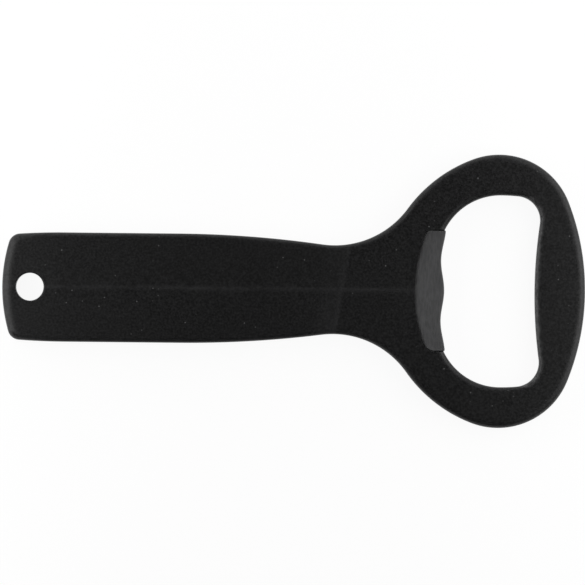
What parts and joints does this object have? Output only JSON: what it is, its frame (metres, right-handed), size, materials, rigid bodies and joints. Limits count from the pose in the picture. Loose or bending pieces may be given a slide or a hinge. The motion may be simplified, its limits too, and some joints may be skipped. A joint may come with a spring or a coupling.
{
  "type": "bottle opener",
  "caption": "Flat pocket bottle opener: slim tapered handle with a ring hole, ring-shaped head, and a hard ramped lip set in the opening to hook under a crown cap.",
  "frame": {"origin": "under the middle of the bounding box, on the surface that the opener lies on", "axes": "+X along the handle from the ring hole to the head's nose, +Y across the opener, +Z out of its front face"},
  "size_m": [0.12, 0.0562, 0.005],
  "materials": {
    "black_anodised_casting": "fine bead-blasted, black anodised, slightly worn at the edges",
    "dark_ground_steel": "blackened hard steel with a fine ground grain across the opener"
  },
  "bodies": {
    "root": {"opener_body": "black_anodised_casting", "lip_insert": "dark_ground_steel"}
  },
  "joints": []
}
